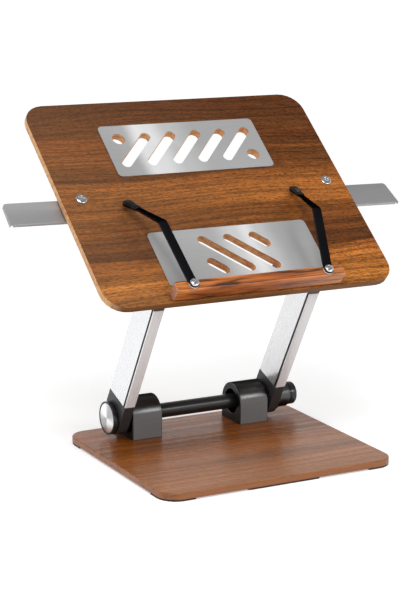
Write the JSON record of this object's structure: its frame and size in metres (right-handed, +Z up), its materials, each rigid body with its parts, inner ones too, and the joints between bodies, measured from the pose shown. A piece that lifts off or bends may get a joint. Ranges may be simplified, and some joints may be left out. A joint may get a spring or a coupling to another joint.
{
  "type": "book stand",
  "caption": "Wooden book stand: a slotted tray with ledge, page clips and side bars on two hollow arms over a base.",
  "frame": {"origin": "on the desk under the middle of the stand, pads resting on z = 0", "axes": "+X to the reader's right along the hinge shafts, +Y away from the reader, +Z up"},
  "size_m": [0.5459, 0.3282, 0.4219],
  "materials": {
    "walnut": "satin walnut veneer",
    "acacia": "satin reddish hardwood",
    "rubber": "matte",
    "brushed_steel": "brushed",
    "bar_steel": "brushed, darker",
    "polished_aluminium": "polished",
    "spun_aluminium": "spun",
    "black_strip": "satin",
    "nylon": "pale",
    "chrome": "bright",
    "black_metal": "satin black"
  },
  "bodies": {
    "base": {"base_board": "walnut", "pad_front_left": "rubber", "pad_front_middle": "rubber", "pad_front_right": "rubber", "pad_back_left": "rubber", "pad_back_middle": "rubber", "pad_back_right": "rubber", "hinge_block_left": "black_metal", "hinge_block_right": "black_metal", "hinge_bush_left": "black_metal", "hinge_bush_right": "black_metal", "block_screw_left_front": "chrome", "block_screw_left_back": "chrome", "block_screw_right_front": "chrome", "block_screw_right_back": "chrome"},
    "arms": {"arm_left": "polished_aluminium", "arm_right": "polished_aluminium", "lower_knuckle_left": "black_metal", "lower_knuckle_right": "black_metal", "upper_knuckle_left": "black_metal", "upper_knuckle_right": "black_metal", "lower_shaft": "black_metal", "upper_shaft": "black_metal", "lower_washer_left": "black_metal", "lower_washer_right": "black_metal", "upper_washer_left": "black_metal", "upper_washer_right": "black_metal", "upper_cap_left": "black_metal", "upper_cap_right": "black_metal", "pivot_cap": "black_metal", "pivot_cap_disc": "spun_aluminium", "clamp_hub": "black_metal"},
    "clamp_knob": {"clamp_knob": "black_metal"},
    "tray": {"tray_board": "walnut", "upper_plate": "brushed_steel", "lower_plate": "brushed_steel", "ledge": "acacia", "bar_rail": "bar_steel", "ledge_screw_left": "chrome", "ledge_screw_right": "chrome", "tray_block_left": "black_metal", "tray_block_right": "black_metal", "tray_block_screw_left_low": "chrome", "tray_block_screw_left_high": "chrome", "tray_block_screw_right_low": "chrome", "tray_block_screw_right_high": "chrome", "tray_bolt_left": "chrome", "tray_bolt_right": "chrome", "clip_screw_left": "chrome", "clip_screw_right": "chrome", "clip_washer_left": "nylon", "clip_washer_right": "nylon"},
    "clip_left": {"clip_strip_left": "black_strip", "clip_boot_left": "rubber"},
    "clip_right": {"clip_strip_right": "black_strip", "clip_boot_right": "rubber"},
    "bar_left": {"side_bar_left": "bar_steel"},
    "bar_right": {"side_bar_right": "bar_steel"}
  },
  "joints": [
    {"name": "arm_tilt", "type": "hinge", "parent": "base", "child": "arms", "pos_m": [0, 0.06624, 0.036], "axis": [1, 0, 0], "range_deg": [-30, 53]},
    {"name": "tray_tilt", "type": "hinge", "parent": "arms", "child": "tray", "pos_m": [0, -0.03362, 0.22301], "axis": [-1, 0, 0], "range_deg": [-50, 88]},
    {"name": "clamp_knob_turn", "type": "hinge", "parent": "arms", "child": "clamp_knob", "pos_m": [0.1439, 0.06624, 0.036], "axis": [1, 0, 0], "range_deg": [-180, 180]},
    {"name": "clip_left_swing", "type": "hinge", "parent": "tray", "child": "clip_left", "pos_m": [-0.0932, -0.10063, 0.24141], "axis": [0, -0.628, 0.7782], "range_deg": [-86, 49]},
    {"name": "clip_right_swing", "type": "hinge", "parent": "tray", "child": "clip_right", "pos_m": [0.0932, -0.10063, 0.24141], "axis": [0, -0.628, 0.7782], "range_deg": [-49, 86]},
    {"name": "bar_left_slide", "type": "slide", "parent": "tray", "child": "bar_left", "axis": [-0.9997, 0.0204, 0.0164], "range_m": [-0.073, 0]},
    {"name": "bar_right_slide", "type": "slide", "parent": "tray", "child": "bar_right", "axis": [0.9997, -0.0204, -0.0164], "range_m": [-0.073, 0]}
  ]
}
